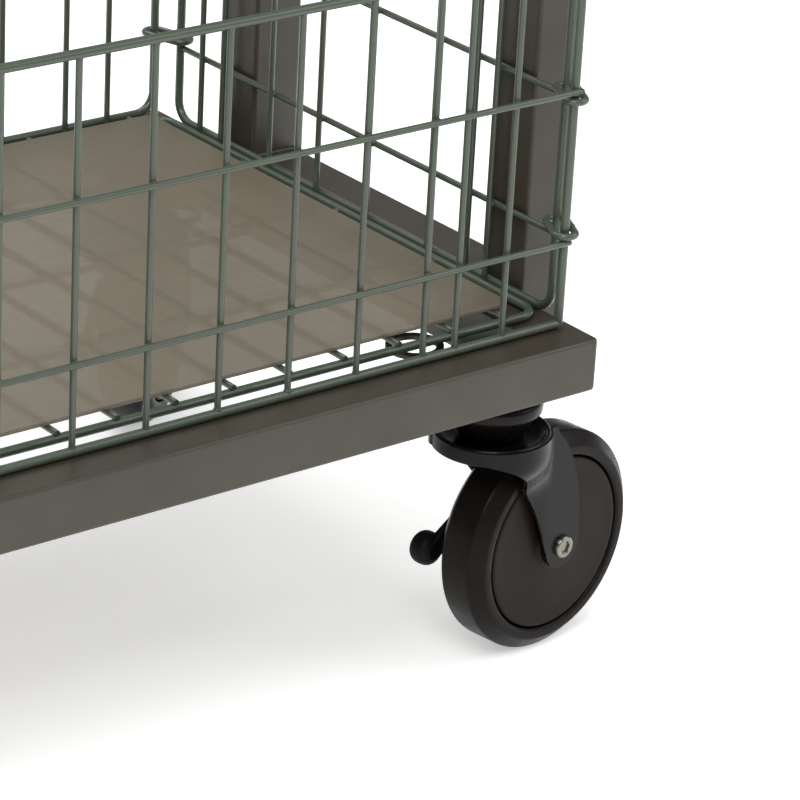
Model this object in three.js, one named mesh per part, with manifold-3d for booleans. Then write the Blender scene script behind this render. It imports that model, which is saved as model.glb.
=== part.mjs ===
// Roll cage container: a square-tube base on four swivel casters, two end frames welded to it,
// wire panels on three sides, a low ring-hinged wire gate in front, a wire floor grid and
// a clear floor sheet.
// Millimetres. +X along the length, +Y from the gate to the back panel, +Z up.
// The origin is on the floor under the middle of the base.
import * as THREE from "three";
import { mergeVertices } from "three/addons/utils/BufferGeometryUtils.js";
import Module from "manifold-3d";

const wasm = await Module();
wasm.setup();

// ---------------------------------------------------------------- driving dimensions
const gap = 0.3; // left between two pieces that touch
const tube = 30; // square tube of the base
const postTube = 32; // square tube of the end frames
const tubeWall = 1.5;
const baseLength = 810;
const baseDepth = 410;
const railTop = 195; // floor to the top of the base
const overallHeight = 1150;
const postSetback = 66; // base corner to the nearest face of a post, along Y
const capPlate = 3; // post cap
const capInsert = 15;
const pushBarRadius = 12.5;
const pushBarHeight = 1100;

const rod = 5; // border rods of the wire panels
const wire = 3.5; // wires welded across them
const weldSink = 0.2; // how far a welded wire sinks into the one it crosses
const bendRadius = 12; // border rod corners
const panelHeight = 847; // outside height of the back and side panels
const gateHeight = 208;
const panelRows = [46.5, 124, 201, 415, 629]; // wires along the back and side panels, above the base
const gateRows = [49.5, 133];
const gatePitch = 43.2; // upright wires of the gate
const gateEndColumns = [49.6, 81.2]; // its wires nearest each end, in from the end of the base
const backPitch = 44.2;
const backEndColumns = [43.6];
const sideRods = [37, 381.5]; // the side panels' border rods, from the front of the base
const sideColumns = [90, 107, 140, 196, 242, 288, 335, 356]; // their upright wires
const sideInset = 3; // side panel rods, in from the end of the base
const gateSetback = 22; // gate plane, back from the front of the base
const gateEndInset = 10.5; // gate end rods, in from the end of the base
const backPanelSetback = 10; // back panel plane, in from the back of the base
const backPanelInset = 9; // its end rods, in from the end of the base

const gridFront = 38.5; // floor grid's border rods, from the front of the base
const gridBack = 386;
const gridEndInset = 10.5;
const gridPitch = 35.2; // wires from front to back
const gridCrossWires = 3; // wires along the length
const sheetFront = 44; // clear floor sheet
const sheetBack = 378;
const sheetEndInset = 26;
const sheetThickness = 2.5;

const ringWire = 4; // wire links that join two border rods
const ringClearance = 1.24; // rod side to ring wire: a square rod turns in it
const ringHeights = [54, 128.5]; // gate hinge rings, above the base
const cornerRingHeights = [52, 452, 800]; // back corner rings
const latchThickness = 4;
const latchHeight = 140; // above the base
const latchOpenAngle = 100; // degrees from catching the panel rod to the rest pose

const casterInsetX = 40; // swivel axis, in from the end of the base
const casterInsetY = 36;
const trail = 41; // swivel axis to wheel axle
const headings = { front_right: 8, back_left: 188, back_right: 42, front_left: 222 }; // degrees from +X at rest
const wheelRadius = 63.5;
const wheelWidth = 32;
const hubRadius = 49.4;
const boreRadius = 5.3;
const axleRadius = 4.8;
const axleHeadRadius = 7.2; // hexagon of the axle bolt's head and nut, over its corners
const axleHeadHeight = 6;
const plateThickness = 3; // corner plates
const plateReach = [84, 79]; // their far edges, in from the end and from the face of the base
const stemRadius = 4.5; // caster stem, welded into its corner plate
const legInside = 18; // half the space between the fork's legs
const legThickness = 3;
const crownRadius = 32.5;
const crownBottom = 131;
const crownTop = 135;
const crownLip = 139.5;
const brakePivot = [26, 84]; // lever outside one leg of the fork, in XZ
const brakeNose = [-14.3, 61.3];
const brakeNear = 21.6; // its inner face, along Y
const brakeThickness = 5;
const brakeNoseRadius = 9.5;
const brakeNoseWidth = 14;

// ---------------------------------------------------------------- places worked out from them
const halfLength = baseLength / 2;
const halfDepth = baseDepth / 2;
const railBottom = railTop - tube;
const fromFront = (distance) => distance - halfDepth;
const fromEnd = (side, inset) => side * (halfLength - inset);
const sides = { left: -1, right: 1 };
const rows = { front: -1, back: 1 };

// ---------------------------------------------------------------- materials
function finish(color, roughness, metalness) {
  return () => new THREE.MeshStandardMaterial({ color, roughness, metalness });
}

const taupePaint = finish(0x4b463d, 0.55, 0.1);
const greenCoat = finish(0x66796b, 0.4, 0.1);
const clearSheet = finish(0x9a9488, 0.2, 0);
const blackPaint = finish(0x191614, 0.3, 0.1);
const blackWheel = finish(0x1c1917, 0.5, 0);
const blackPlastic = finish(0x141312, 0.6, 0);
const zinc = finish(0xb9b8b0, 0.35, 0.9);

// ---------------------------------------------------------------- solids
function solid(geometry) {
  const bare = geometry.index ? geometry.toNonIndexed() : geometry.clone();
  bare.deleteAttribute("normal");
  bare.deleteAttribute("uv");
  const merged = mergeVertices(bare, 1e-4);
  return new wasm.Manifold(
    new wasm.Mesh({
      numProp: 3,
      vertProperties: new Float32Array(merged.attributes.position.array),
      triVerts: new Uint32Array(merged.index.array),
    })
  );
}

const join = (pieces) => pieces.reduce((whole, piece) => whole.add(piece));

function toGeometry(manifold) {
  const mesh = manifold.getMesh();
  const geometry = new THREE.BufferGeometry();
  geometry.setAttribute("position", new THREE.BufferAttribute(new Float32Array(mesh.vertProperties), 3));
  geometry.setIndex(new THREE.BufferAttribute(new Uint32Array(mesh.triVerts), 1));
  return geometry;
}

// A block from its lowest to its highest corner.
function block(low, high) {
  const size = high.map((value, i) => value - low[i]);
  const geometry = new THREE.BoxGeometry(...size);
  geometry.translate(...low.map((value, i) => value + size[i] / 2));
  return solid(geometry);
}

// A round bar with the given number of sides along Y or Z, centred on (x, y, z).
function bar(axis, radius, length, x, y, z, corners = 10) {
  const geometry = new THREE.CylinderGeometry(radius, radius, length, corners);
  if (axis === "z") geometry.rotateX(Math.PI / 2);
  geometry.translate(x, y, z);
  return solid(geometry);
}

// A flat outline in XY raised from z = low to z = high.
function plate(shape, low, high, curveSegments = 3) {
  const options = { depth: high - low, bevelEnabled: false, curveSegments };
  const geometry = new THREE.ExtrudeGeometry(shape, options);
  geometry.translate(0, 0, low);
  return solid(geometry);
}

// A flat outline in XZ given thickness along Y from near to far.
function upright(shape, near, far, curveSegments = 3) {
  const options = { depth: far - near, bevelEnabled: false, curveSegments };
  const geometry = new THREE.ExtrudeGeometry(shape, options);
  geometry.rotateX(Math.PI / 2);
  geometry.translate(0, far, 0);
  return solid(geometry);
}

// A closed profile of [radius, height] points turned about Z.
function turned(profile, corners = 16) {
  const points = [...profile, profile[0]].map(([r, h]) => new THREE.Vector2(r, h));
  const geometry = new THREE.LatheGeometry(points, corners);
  geometry.rotateX(Math.PI / 2);
  const turnedSolid = solid(geometry);
  return turnedSolid.volume() < 0 ? solid(flipped(geometry)) : turnedSolid;
}

function flipped(geometry) {
  const index = Array.from(geometry.index.array);
  for (let i = 0; i < index.length; i += 3) [index[i], index[i + 1]] = [index[i + 1], index[i]];
  const copy = geometry.clone();
  copy.setIndex(index);
  return copy;
}

function roundedRectangle(path, halfWidth, halfHeight, radius, cx = 0, cy = 0) {
  const corners = [
    [1, 1, 0],
    [-1, 1, 90],
    [-1, -1, 180],
    [1, -1, 270],
  ];
  for (const [sx, sy, start] of corners) {
    const from = THREE.MathUtils.degToRad(start);
    const x = cx + sx * (halfWidth - radius);
    const y = cy + sy * (halfHeight - radius);
    path.absarc(x, y, radius, from, from + Math.PI / 2, false);
  }
  path.closePath();
  return path;
}

const root = new THREE.Group();

function addPiece(name, manifold, material, parent = root) {
  const mesh = new THREE.Mesh(toGeometry(manifold), material());
  mesh.name = name;
  parent.add(mesh);
  return mesh;
}

// ---------------------------------------------------------------- base frame
// Four mitred tubes welded into a rectangle.
function mitredTube(length) {
  const half = length / 2 - gap;
  const outline = new THREE.Shape([
    new THREE.Vector2(-half, 0),
    new THREE.Vector2(half, 0),
    new THREE.Vector2(half - tube, tube),
    new THREE.Vector2(tube - half, tube),
  ]);
  const inside = [length / 2 + 1, tube - tubeWall, railTop - tubeWall];
  const bore = block([-inside[0], tubeWall, railBottom + tubeWall], inside);
  return plate(outline, railBottom, railTop).subtract(bore);
}

function addBase() {
  addPiece("front_rail", mitredTube(baseLength), taupePaint).position.y = -halfDepth;
  const back = addPiece("back_rail", mitredTube(baseLength), taupePaint);
  back.rotation.z = Math.PI;
  back.position.y = halfDepth;
  for (const [side, sign] of Object.entries(sides)) {
    const rail = addPiece(`${side}_rail`, mitredTube(baseDepth), taupePaint);
    rail.rotation.z = (sign * Math.PI) / 2;
    rail.position.x = sign * halfLength;
  }
}

// Plate inside each corner of the base, which holds a caster's stem and ends in a round eye.
function cornerPlate(sx, sy) {
  const at = (x, y) => [sx * (halfLength - x), sy * (halfDepth - y)];
  const corners = [at(tube + gap, tube + gap), at(...plateReach)];
  const [xs, ys] = [0, 1].map((axis) => corners.map((corner) => corner[axis]).sort((a, b) => a - b));
  const bottom = railBottom + 1;
  const top = bottom + plateThickness;
  const eye = at(50, 92);
  return block([xs[0], ys[0], bottom], [xs[1], ys[1], top])
    .add(bar("z", 16, plateThickness, ...eye, (top + bottom) / 2, 12))
    .subtract(bar("z", 12, tube, ...eye, top, 12))
    .subtract(bar("z", stemRadius + gap, tube, ...at(casterInsetX, casterInsetY), top, 8));
}

// ---------------------------------------------------------------- end frames
function squareTube(low, high, axis) {
  const boreLow = low.map((value, i) => (i === axis ? value - 1 : value + tubeWall));
  const boreHigh = high.map((value, i) => (i === axis ? value + 1 : value - tubeWall));
  return block(low, high).subtract(block(boreLow, boreHigh));
}

function addEndFrame(side, sign) {
  const inner = halfLength + gap;
  const postBottom = railTop - postTube;
  const xs = [sign * inner, sign * (inner + postTube)].sort((a, b) => a - b);
  const postInside = halfDepth - postSetback - postTube; // post face that the crossbar meets
  for (const [row, back] of Object.entries(rows)) {
    const ys = [back * postInside, back * (postInside + postTube)].sort((a, b) => a - b);
    const top = overallHeight - capPlate - gap;
    const name = `${row}_${side}`;
    addPiece(`post_${name}`, squareTube([xs[0], ys[0], postBottom], [xs[1], ys[1], top], 2), taupePaint);
    const inset = tubeWall + gap;
    const lid = block([xs[0], ys[0], top + gap], [xs[1], ys[1], overallHeight]);
    const insertLow = [xs[0] + inset, ys[0] + inset, top - capInsert];
    const insert = block(insertLow, [xs[1] - inset, ys[1] - inset, overallHeight - 1]);
    addPiece(`post_cap_${name}`, lid.add(insert), blackPlastic);
  }
  const reach = postInside - gap;
  const crossbar = squareTube([xs[0], -reach, postBottom], [xs[1], reach, railTop], 1);
  addPiece(`crossbar_${side}`, crossbar, taupePaint);
  const centre = (xs[0] + xs[1]) / 2;
  const grip = bar("y", pushBarRadius, 2 * reach, centre, 0, pushBarHeight, 12);
  const hollow = bar("y", pushBarRadius - tubeWall, 2 * reach + 2, centre, 0, pushBarHeight, 12);
  addPiece(`push_bar_${side}`, grip.subtract(hollow), taupePaint);
}

// ---------------------------------------------------------------- wire panels
// Drawn standing in XZ with its lowest rod's underside at z = 0. A column or row is given by its place, and
// columnY and rowY say how far those wires lie in front of (-) or behind (+) the border rods.
function wirePanel({ halfWidth, height, corner, columns, rowHeights, columnY, rowY }) {
  const middle = height / 2;
  const outline = roundedRectangle(new THREE.Shape(), halfWidth, middle, corner + rod / 2, 0, middle);
  const inside = [halfWidth - rod, middle - rod, Math.max(corner - rod / 2, 0.5), 0, middle];
  outline.holes.push(roundedRectangle(new THREE.Path(), ...inside));
  const pieces = [upright(outline, -rod / 2, rod / 2, 3)];
  for (const x of columns) {
    const low = [x - wire / 2, columnY - wire / 2, rod / 2];
    pieces.push(block(low, [x + wire / 2, columnY + wire / 2, height - rod / 2]));
  }
  for (const z of rowHeights) {
    const low = [rod / 2 - halfWidth, rowY - wire / 2, z - wire / 2];
    pieces.push(block(low, [halfWidth - rod / 2, rowY + wire / 2, z + wire / 2]));
  }
  return join(pieces);
}

const innerColumnY = -rod / 2;
const outerRowY = innerColumnY + wire - weldSink;

// Evenly pitched columns on both sides of the middle, starting at a share of the pitch, and the end ones.
function columnsAcross(pitch, start, count, endColumns = []) {
  const right = Array.from({ length: count }, (_, i) => (i + start) * pitch);
  right.push(...endColumns.map((inset) => halfLength - inset));
  return [...new Set(right.flatMap((x) => [-x || 0, x]))];
}

function addPanels() {
  const lift = railTop + gap;
  const backHalf = halfLength - backPanelInset + rod / 2;
  const back = wirePanel({
    halfWidth: backHalf,
    height: panelHeight,
    corner: bendRadius,
    columns: columnsAcross(backPitch, 0.5, 8, backEndColumns),
    rowHeights: panelRows,
    columnY: innerColumnY,
    rowY: outerRowY,
  });
  addPiece("back_panel", back, greenCoat).position.set(0, halfDepth - backPanelSetback, lift);

  const sideHalf = (sideRods[1] - sideRods[0] + rod) / 2;
  const sideMiddle = fromFront((sideRods[0] + sideRods[1]) / 2);
  for (const [side, sign] of Object.entries(sides)) {
    const panel = wirePanel({
      halfWidth: sideHalf,
      height: panelHeight,
      corner: bendRadius,
      columns: sideColumns.map((y) => -sign * (fromFront(y) - sideMiddle)),
      rowHeights: panelRows,
      columnY: innerColumnY,
      rowY: outerRowY,
    });
    const mesh = addPiece(`side_panel_${side}`, panel, greenCoat);
    mesh.rotation.z = (-sign * Math.PI) / 2;
    mesh.position.set(fromEnd(sign, sideInset), sideMiddle, lift);
  }

  const gateHalf = halfLength - gateEndInset + rod / 2;
  const gate = wirePanel({
    halfWidth: gateHalf,
    height: gateHeight,
    corner: 0.5,
    columns: columnsAcross(gatePitch, 0, 8, gateEndColumns),
    rowHeights: gateRows,
    columnY: 0,
    rowY: weldSink - wire,
  });
  addPiece("front_gate", gate, greenCoat).position.set(0, fromFront(gateSetback), lift);
}

function addFloor() {
  const gridHalf = halfLength - gridEndInset + rod / 2;
  const depth = gridBack - gridFront + rod;
  const crossGap = depth / (gridCrossWires + 1);
  const grid = wirePanel({
    halfWidth: gridHalf,
    height: depth,
    corner: bendRadius,
    columns: columnsAcross(gridPitch, 0.5, Math.floor(gridHalf / gridPitch)),
    rowHeights: Array.from({ length: gridCrossWires }, (_, i) => (i + 1) * crossGap),
    columnY: weldSink - wire,
    rowY: 0,
  });
  const laid = addPiece("floor_grid", grid, greenCoat);
  laid.rotation.x = -Math.PI / 2;
  laid.position.set(0, fromFront(gridFront - rod / 2), railTop + gap + rod / 2);

  const gridTop = railTop + gap + rod / 2 + wire * 1.5 - weldSink;
  const sheetHalf = halfLength - sheetEndInset;
  const low = [-sheetHalf, fromFront(sheetFront), gridTop + gap];
  const sheet = block(low, [sheetHalf, fromFront(sheetBack), gridTop + gap + sheetThickness]);
  addPiece("floor_sheet", sheet, clearSheet);
}

// ---------------------------------------------------------------- rings and latch
// A long wire link round two upright rods, drawn along +X from the first rod at the origin.
function ringLink(reach) {
  const inner = rod / 2 + ringClearance;
  const outline = (path, radius) => {
    path.absarc(reach, 0, radius, -Math.PI / 2, Math.PI / 2, false);
    path.absarc(0, 0, radius, Math.PI / 2, (3 * Math.PI) / 2, false);
    path.closePath();
    return path;
  };
  const shape = outline(new THREE.Shape(), inner + ringWire);
  shape.holes.push(outline(new THREE.Path(), inner));
  return plate(shape, -ringWire / 2, ringWire / 2, 3);
}

function placeLink(name, from, to, height) {
  const [dx, dy] = [to[0] - from[0], to[1] - from[1]];
  const mesh = addPiece(name, ringLink(Math.hypot(dx, dy)), greenCoat);
  mesh.rotation.z = Math.atan2(dy, dx);
  mesh.position.set(from[0], from[1], railTop + height);
}

function addRings() {
  const panelRod = [fromEnd(1, sideInset), fromFront(sideRods[0])];
  const gateRod = [fromEnd(1, gateEndInset), fromFront(gateSetback)];
  placeLink("gate_ring_lower", panelRod, gateRod, ringHeights[0]);
  placeLink("gate_ring_upper", panelRod, gateRod, ringHeights[1]);
  const levels = ["low", "middle", "high"];
  for (const [side, sign] of Object.entries(sides)) {
    const sideRod = [fromEnd(sign, sideInset), fromFront(sideRods[1])];
    const backRod = [fromEnd(sign, backPanelInset), halfDepth - backPanelSetback];
    cornerRingHeights.forEach((height, i) => {
      placeLink(`corner_ring_${side}_${levels[i]}`, sideRod, backRod, height);
    });
  }
}

// A flat latch that turns on the gate's left end rod. Its open notch catches the side panel's rod, and it
// rests swung clear of it.
function addLatch() {
  const gateRod = [fromEnd(-1, gateEndInset), fromFront(gateSetback)];
  const panelRod = [fromEnd(-1, sideInset), fromFront(sideRods[0])];
  const reach = Math.hypot(panelRod[0] - gateRod[0], panelRod[1] - gateRod[1]);
  const clear = rod / 2 + ringClearance;
  const collar = 8;
  const shape = new THREE.Shape();
  shape.moveTo(0, -collar);
  shape.lineTo(reach - clear - 3.4, -collar);
  shape.lineTo(reach - clear, 0);
  shape.lineTo(reach - clear, 4);
  shape.lineTo(reach + clear, 4);
  shape.lineTo(reach + clear, -collar);
  shape.lineTo(reach + clear + 4, -collar);
  shape.absarc(reach + clear, 4, 4, 0, Math.PI / 2, false);
  shape.absarc(0, 0, collar, Math.PI / 2, (3 * Math.PI) / 2, false);
  const eye = new THREE.Path();
  eye.absarc(0, 0, clear, 0, 2 * Math.PI, false);
  shape.holes.push(eye);
  const latch = addPiece("gate_latch", plate(shape, 0, latchThickness, 6), blackPaint);
  const caught = Math.atan2(panelRod[1] - gateRod[1], panelRod[0] - gateRod[0]);
  latch.rotation.z = caught + THREE.MathUtils.degToRad(latchOpenAngle);
  latch.position.set(gateRod[0], gateRod[1], railTop + latchHeight);
}

// ---------------------------------------------------------------- casters
// Drawn with the swivel axis on Z and the wheel trailing to +X.
function swivelHead() {
  const top = railBottom - gap;
  const raceBottom = crownTop + gap;
  const race = turned([
    [0, top],
    [0, raceBottom],
    [19, raceBottom],
    [21, raceBottom + 8],
    [27, raceBottom + 16],
    [27, raceBottom + 22],
    [20, top],
  ]);
  const stemTop = railBottom + 12;
  const stem = bar("z", stemRadius, stemTop - top + 2, 0, 0, (stemTop + top - 2) / 2, 8);
  const pin = bar("z", 6, raceBottom - crownBottom + 6, 0, 0, (raceBottom + crownBottom) / 2, 8);
  const pinHead = bar("z", 10, 3, 0, 0, crownBottom - gap - 1.5, 8);
  return join([race, stem, pin, pinHead]);
}

function casterFork() {
  const pan = turned([
    [6.6, crownBottom],
    [crownRadius, crownBottom],
    [crownRadius, crownLip],
    [crownRadius - 2.5, crownTop],
    [6.6, crownTop],
  ]);
  const leg = new THREE.Shape();
  leg.moveTo(-24, crownBottom + 2);
  leg.lineTo(-17, 112);
  leg.quadraticCurveTo(22, 104, trail - 13, wheelRadius);
  leg.absarc(trail, wheelRadius, 13, Math.PI, 2 * Math.PI, false);
  leg.quadraticCurveTo(trail + 10, 120, 25, crownBottom + 2);
  leg.closePath();
  const legs = [-1, 1].map((side) => {
    const ys = [side * legInside, side * (legInside + legThickness)].sort((a, b) => a - b);
    return upright(leg, ...ys, 3);
  });
  return join([pan, ...legs])
    .subtract(bar("y", boreRadius, 60, trail, 0, wheelRadius, 8))
    .subtract(bar("y", 3.6, 20, brakePivot[0], brakeNear, brakePivot[1], 6));
}

function wheelHub() {
  const half = [
    [boreRadius, 17],
    [13, 17],
    [16, 9],
    [44, 9],
    [hubRadius, 15],
  ];
  return turned([...half, ...half.map(([r, h]) => [r, -h]).reverse()]);
}

function tyre() {
  const half = [
    [hubRadius + 3 * gap, wheelWidth / 2],
    [57, wheelWidth / 2],
    [wheelRadius, 10],
  ];
  return turned([...half, ...half.map(([r, h]) => [r, -h]).reverse()], 24);
}

function axleBolt() {
  const overLegs = legInside + legThickness + gap;
  const shank = bar("z", axleRadius, 2 * overLegs + axleHeadHeight, 0, 0, 0, 8);
  const ends = [-1, 1].map((end) => {
    const middle = end * (overLegs + axleHeadHeight / 2);
    return bar("z", axleHeadRadius, axleHeadHeight, 0, 0, middle, 6);
  });
  return join([shank, ...ends]);
}

// A lever outside the fork's leg on the +Y side, which ends in a thick round nose.
function brakeLever() {
  const turn = Math.atan2(brakeNose[1] - brakePivot[1], brakeNose[0] - brakePivot[0]);
  const shape = new THREE.Shape();
  shape.absarc(...brakePivot, 7, turn + Math.PI / 2, turn + (3 * Math.PI) / 2, false);
  shape.absarc(...brakeNose, 6, turn - Math.PI / 2, turn + Math.PI / 2, false);
  shape.closePath();
  const noseMiddle = brakeNear + brakeNoseWidth / 2;
  return join([
    upright(shape, brakeNear, brakeNear + brakeThickness, 4),
    bar("y", 3, 8, brakePivot[0], brakeNear - 0.5, brakePivot[1], 6),
    bar("y", brakeNoseRadius, brakeNoseWidth, brakeNose[0], noseMiddle, brakeNose[1], 12),
  ]);
}

function addCaster(row, side) {
  const [sx, sy] = [sides[side], rows[row]];
  const caster = new THREE.Group();
  caster.position.set(fromEnd(sx, casterInsetX), sy * (halfDepth - casterInsetY), 0);
  root.add(caster);
  const swung = new THREE.Group();
  swung.rotation.z = THREE.MathUtils.degToRad(headings[`${row}_${side}`]);
  caster.add(swung);
  const wheel = new THREE.Group();
  wheel.position.set(trail, 0, wheelRadius);
  wheel.rotation.x = Math.PI / 2;
  swung.add(wheel);
  const name = `caster_${row}_${side}`;
  addPiece(`${name}_swivel_head`, swivelHead(), blackPaint, caster);
  addPiece(`${name}_fork`, casterFork(), blackPaint, swung);
  addPiece(`${name}_brake_lever`, brakeLever(), blackPlastic, swung);
  addPiece(`${name}_wheel_hub`, wheelHub(), blackWheel, wheel);
  addPiece(`${name}_tyre`, tyre(), blackWheel, wheel);
  addPiece(`${name}_axle_bolt`, axleBolt(), zinc, wheel);
}

// ---------------------------------------------------------------- the whole container
addBase();
for (const [side, sign] of Object.entries(sides)) {
  addEndFrame(side, sign);
  for (const [row, back] of Object.entries(rows)) {
    addPiece(`corner_plate_${row}_${side}`, cornerPlate(sign, back), taupePaint);
    addCaster(row, side);
  }
}
addPanels();
addFloor();
addRings();
addLatch();

export default root;
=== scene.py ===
import math

import bmesh
import bpy
from mathutils import Matrix, Vector


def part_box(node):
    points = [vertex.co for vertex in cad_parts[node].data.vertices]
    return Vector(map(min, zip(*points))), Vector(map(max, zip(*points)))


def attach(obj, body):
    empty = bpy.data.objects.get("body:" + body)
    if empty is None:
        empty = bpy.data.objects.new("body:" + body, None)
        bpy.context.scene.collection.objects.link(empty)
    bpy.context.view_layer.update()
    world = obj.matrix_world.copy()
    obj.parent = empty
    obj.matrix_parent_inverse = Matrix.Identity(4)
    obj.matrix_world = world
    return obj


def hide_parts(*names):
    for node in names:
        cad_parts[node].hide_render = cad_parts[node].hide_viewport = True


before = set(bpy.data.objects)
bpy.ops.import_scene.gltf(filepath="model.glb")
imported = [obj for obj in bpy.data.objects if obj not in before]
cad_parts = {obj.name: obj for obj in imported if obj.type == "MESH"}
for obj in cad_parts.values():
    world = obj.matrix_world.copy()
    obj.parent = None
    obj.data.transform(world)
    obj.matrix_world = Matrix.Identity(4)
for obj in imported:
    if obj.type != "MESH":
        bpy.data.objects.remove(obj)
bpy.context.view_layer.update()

mm = 0.001
sides = {"left": -1, "right": 1}
rows = {"front": -1, "back": 1}
print("stage: frame loaded,", len(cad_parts), "nodes")


# camera, lights and floor
camera = {
    "place": (-0.884, -1.615, 0.9998),
    "yaw": 39.33,      # degrees to the right of +Y
    "pitch": 23.94,    # degrees down
    "roll": 3.23,      # degrees, top to the left
    "lens": 176.9,     # mm on a 36 mm sensor
}


def setCamera():
    data = bpy.data.cameras.new("camera")
    data.sensor_width = 36
    data.lens = camera["lens"]
    data.clip_start = 0.05
    data.clip_end = 40
    view = bpy.data.objects.new("camera", data)
    turn = Matrix.Rotation(math.radians(-camera["yaw"]), 4, "Z")
    tilt = Matrix.Rotation(math.radians(90 - camera["pitch"]), 4, "X")
    bank = Matrix.Rotation(math.radians(camera["roll"]), 4, "Z")
    view.matrix_world = Matrix.Translation(camera["place"]) @ turn @ tilt @ bank
    bpy.context.scene.collection.objects.link(view)
    bpy.context.scene.camera = view


softboxes = [   # place, size and power in watts, all aimed at the middle of the cage
    {"name": "keyBox", "place": (-1.8, -2.2, 3.6), "size": 2.4, "power": 120},
    {"name": "fillBox", "place": (2.8, -1.8, 2.2), "size": 2.4, "power": 40},
    {"name": "topBox", "place": (0.2, 1.6, 3.6), "size": 3.0, "power": 95},
]
lampTarget = Vector((0.1, 0, 0.35))


def setLights():
    for lamp in softboxes:
        data = bpy.data.lights.new(lamp["name"], "AREA")
        data.size = lamp["size"]
        data.energy = lamp["power"]
        light = bpy.data.objects.new(lamp["name"], data)
        light.location = lamp["place"]
        light.rotation_euler = (lampTarget - light.location).to_track_quat("-Z", "Y").to_euler()
        bpy.context.scene.collection.objects.link(light)
    world = bpy.data.worlds.new("studio")
    world.use_nodes = True
    world.node_tree.nodes["Background"].inputs["Color"].default_value = (1, 1, 1, 1)
    world.node_tree.nodes["Background"].inputs["Strength"].default_value = 0.28
    bpy.context.scene.world = world
    bpy.context.scene.view_settings.view_transform = "Standard"


# materials
def toLinear(code):
    channels = [int(code[i:i + 2], 16) / 255 for i in (1, 3, 5)]
    return [c / 12.92 if c <= 0.04045 else ((c + 0.055) / 1.055) ** 2.4 for c in channels] + [1]


def addNode(tree, kind, settings=None, inputs=None):
    node = tree.nodes.new(kind)
    for name, value in (settings or {}).items():
        setattr(node, name, value)
    for name, value in (inputs or {}).items():
        if isinstance(value, bpy.types.NodeSocket):
            tree.links.new(value, node.inputs[name])
        else:
            node.inputs[name].default_value = value
    return node


def newMaterial(name, sockets):
    material = bpy.data.materials.new(name)
    material.use_nodes = True
    tree = material.node_tree
    shader = tree.nodes["Principled BSDF"]
    for socket, value in sockets.items():
        shader.inputs[socket].default_value = value
    place = addNode(tree, "ShaderNodeTexCoord").outputs["Object"]
    return material, tree, shader, place


def powderCoatedSteel():
    # oven-cured powder on tube: satin, a faint orange peel and slow drifts of tone, a few dull handling marks
    material, tree, shader, place = newMaterial("powderCoatedSteel", {"IOR": 1.5})
    drift = addNode(tree, "ShaderNodeTexNoise", {}, {"Vector": place, "Scale": 1 / (120 * mm), "Detail": 3})
    tone = addNode(tree, "ShaderNodeMix", {"data_type": "RGBA"},
                   {0: drift.outputs["Fac"], 6: toLinear("#353026"), 7: toLinear("#3e392d")})
    marks = addNode(tree, "ShaderNodeTexNoise", {}, {"Vector": place, "Scale": 1 / (22 * mm), "Detail": 6})
    dull = addNode(tree, "ShaderNodeMapRange", {},
                   {"Value": marks.outputs["Fac"], "From Min": 0.35, "From Max": 0.7, "To Min": 0.36,
                    "To Max": 0.5})
    peel = addNode(tree, "ShaderNodeTexNoise", {}, {"Vector": place, "Scale": 1 / (1.8 * mm), "Detail": 2})
    bump = addNode(tree, "ShaderNodeBump", {},
                   {"Strength": 0.3, "Distance": 0.12 * mm, "Height": peel.outputs["Fac"]})
    tree.links.new(tone.outputs[2], shader.inputs["Base Color"])
    tree.links.new(dull.outputs["Result"], shader.inputs["Roughness"])
    tree.links.new(bump.outputs["Normal"], shader.inputs["Normal"])
    return material


def dipCoatedWire():
    # plastic dip coat on steel wire: thick, glossy, slightly uneven where it ran before it set
    sockets = {"IOR": 1.5, "Coat Weight": 0.25, "Coat Roughness": 0.15}
    material, tree, shader, place = newMaterial("dipCoatedWire", sockets)
    drift = addNode(tree, "ShaderNodeTexNoise", {}, {"Vector": place, "Scale": 1 / (60 * mm), "Detail": 3})
    tone = addNode(tree, "ShaderNodeMix", {"data_type": "RGBA"},
                   {0: drift.outputs["Fac"], 6: toLinear("#3d473a"), 7: toLinear("#4a5546")})
    runs = addNode(tree, "ShaderNodeTexNoise", {}, {"Vector": place, "Scale": 1 / (4 * mm), "Detail": 2})
    gloss = addNode(tree, "ShaderNodeMapRange", {},
                    {"Value": runs.outputs["Fac"], "From Min": 0.3, "From Max": 0.7, "To Min": 0.28,
                     "To Max": 0.42})
    bump = addNode(tree, "ShaderNodeBump", {},
                   {"Strength": 0.35, "Distance": 0.2 * mm, "Height": runs.outputs["Fac"]})
    tree.links.new(tone.outputs[2], shader.inputs["Base Color"])
    tree.links.new(gloss.outputs["Result"], shader.inputs["Roughness"])
    tree.links.new(bump.outputs["Normal"], shader.inputs["Normal"])
    return material


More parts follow.
